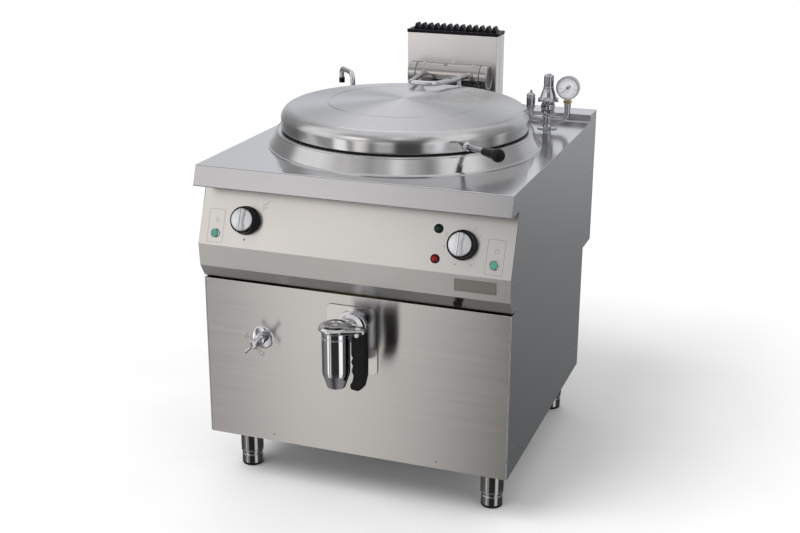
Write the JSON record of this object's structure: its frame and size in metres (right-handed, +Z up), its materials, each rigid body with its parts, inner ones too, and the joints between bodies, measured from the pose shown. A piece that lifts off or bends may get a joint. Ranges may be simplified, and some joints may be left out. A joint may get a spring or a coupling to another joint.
{
  "type": "steam jacketed kettle",
  "caption": "Free-standing gas boiling kettle in a steel cabinet: round steam jacketed vessel under a sprung hinged lid, draw-off tap, controls and safety fittings.",
  "frame": {"origin": "bottom centre of the machine's box, on the floor under the feet", "axes": "+Z up, +X to the operator's right, -Y towards the operator"},
  "size_m": [0.8012, 1.012, 1.095],
  "materials": {
    "brushed_steel": "fine straight grain, satin",
    "lid_steel": "spun grain in rings, bright satin",
    "deck_steel": "fine grain, bright",
    "plain_steel": "mill finish",
    "chrome": "polished",
    "black_plastic": "satin moulded",
    "knob_plastic": "black moulding with a silver face",
    "cast_black": "black enamelled casting",
    "green_lens": "translucent green",
    "pale_green_lens": "translucent pale green",
    "red_lens": "translucent red",
    "gasket_rubber": "matt silicone",
    "insulation_wool": "mineral wool",
    "brass": "machined",
    "glass": "clear flat",
    "grey_paint": "plain primer",
    "foot_steel": "satin with a black sole"
  },
  "bodies": {
    "cabinet": {"base_plate": "brushed_steel", "base_frame": "plain_steel", "left_side_panel": "brushed_steel", "right_side_panel": "brushed_steel", "back_panel": "plain_steel", "front_panel": "brushed_steel", "control_panel": "brushed_steel", "worktop": "deck_steel", "pan_collar": "deck_steel", "inner_vessel": "deck_steel", "steam_jacket": "plain_steel", "jacket_insulation": "insulation_wool", "combustion_chamber": "plain_steel", "burner": "plain_steel", "gas_pipe": "plain_steel", "gas_valve": "brass", "water_valve": "brass", "flue_chimney": "deck_steel", "flue_grille": "cast_black", "badge_plate": "brushed_steel", "lamp_bezels": "black_plastic", "green_lamp_lens": "green_lens", "red_lamp_lens": "red_lens", "push_button_bezels": "chrome", "tap_backplate": "brushed_steel", "tap_body": "chrome", "jacket_valve_body": "chrome", "spout_base": "chrome", "water_inlet": "brass", "cable_gland": "black_plastic", "safety_manifold": "chrome", "safety_valve": "chrome", "vacuum_valve": "chrome", "gauge_case": "chrome", "gauge_glass": "glass", "hinge_brackets": "brushed_steel", "hinge_axle_springs": "plain_steel", "panel_screws": "chrome"},
    "lid": {"lid_shell": "lid_steel", "lid_liner": "deck_steel", "lid_gasket": "gasket_rubber", "lid_arm": "chrome", "hinge_sleeve": "brushed_steel", "lid_handle_rod": "chrome", "lid_grip": "black_plastic"},
    "left_knob": {"knob_left": "knob_plastic"},
    "right_knob": {"knob_right": "knob_plastic"},
    "left_button": {"left_push_button": "pale_green_lens"},
    "right_button": {"right_push_button": "pale_green_lens"},
    "igniter": {"igniter_button": "black_plastic"},
    "jacket_handle": {"jacket_valve_handle": "chrome"},
    "tap": {"tap_plug": "brass", "tap_cap": "chrome", "tap_grip": "black_plastic"},
    "spout": {"water_spout": "chrome"},
    "needle": {"gauge_needle": "black_plastic"},
    "foot_front_left": {"front_left_foot": "foot_steel"},
    "foot_front_right": {"front_right_foot": "foot_steel"},
    "foot_rear_left": {"rear_left_foot": "foot_steel"},
    "foot_rear_right": {"rear_right_foot": "foot_steel"}
  },
  "joints": [
    {"name": "lid_hinge", "type": "hinge", "parent": "cabinet", "child": "lid", "pos_m": [0, 0.39, 0.963], "axis": [-1, 0, 0], "range_deg": [0, 85], "stiffness_Nm_per_rad": 22, "springref_deg": 91.67},
    {"name": "left_knob_turn", "type": "hinge", "parent": "cabinet", "child": "left_knob", "pos_m": [-0.277, -0.35847, 0.715], "axis": [0, 0.9338, -0.3578], "range_deg": [-90, 90]},
    {"name": "right_knob_turn", "type": "hinge", "parent": "cabinet", "child": "right_knob", "pos_m": [0.277, -0.35847, 0.715], "axis": [0, 0.9338, -0.3578], "range_deg": [0, 270]},
    {"name": "left_button_press", "type": "slide", "parent": "cabinet", "child": "left_button", "axis": [0, 0.9338, -0.3578], "range_m": [0, 0.003], "stiffness_N_per_m": 600},
    {"name": "right_button_press", "type": "slide", "parent": "cabinet", "child": "right_button", "axis": [0, 0.9338, -0.3578], "range_m": [0, 0.003], "stiffness_N_per_m": 600},
    {"name": "igniter_press", "type": "slide", "parent": "cabinet", "child": "igniter", "axis": [0, 0.8437, 0.5369], "range_m": [0, 0.004], "stiffness_N_per_m": 600},
    {"name": "jacket_valve_turn", "type": "hinge", "parent": "cabinet", "child": "jacket_handle", "pos_m": [-0.242, -0.411, 0.414], "axis": [0, 1, 0], "range_deg": [-540, 0]},
    {"name": "tap_turn", "type": "hinge", "parent": "cabinet", "child": "tap", "pos_m": [0, -0.464, 0.478], "axis": [0, 0, 1], "range_deg": [-90, 0]},
    {"name": "spout_swivel", "type": "hinge", "parent": "cabinet", "child": "spout", "pos_m": [-0.26, 0.3, 0.875], "axis": [0, 0, 1], "range_deg": [-120, 120]},
    {"name": "needle_turn", "type": "hinge", "parent": "cabinet", "child": "needle", "pos_m": [0.358, 0.31, 0.966], "axis": [0, 1, 0], "range_deg": [0, 260], "stiffness_Nm_per_rad": 0.01},
    {"name": "foot_front_left_adjust", "type": "slide", "parent": "cabinet", "child": "foot_front_left", "axis": [0, 0, -1], "range_m": [0, 0.03]},
    {"name": "foot_front_right_adjust", "type": "slide", "parent": "cabinet", "child": "foot_front_right", "axis": [0, 0, -1], "range_m": [0, 0.03]},
    {"name": "foot_rear_left_adjust", "type": "slide", "parent": "cabinet", "child": "foot_rear_left", "axis": [0, 0, -1], "range_m": [0, 0.03]},
    {"name": "foot_rear_right_adjust", "type": "slide", "parent": "cabinet", "child": "foot_rear_right", "axis": [0, 0, -1], "range_m": [0, 0.03]}
  ]
}
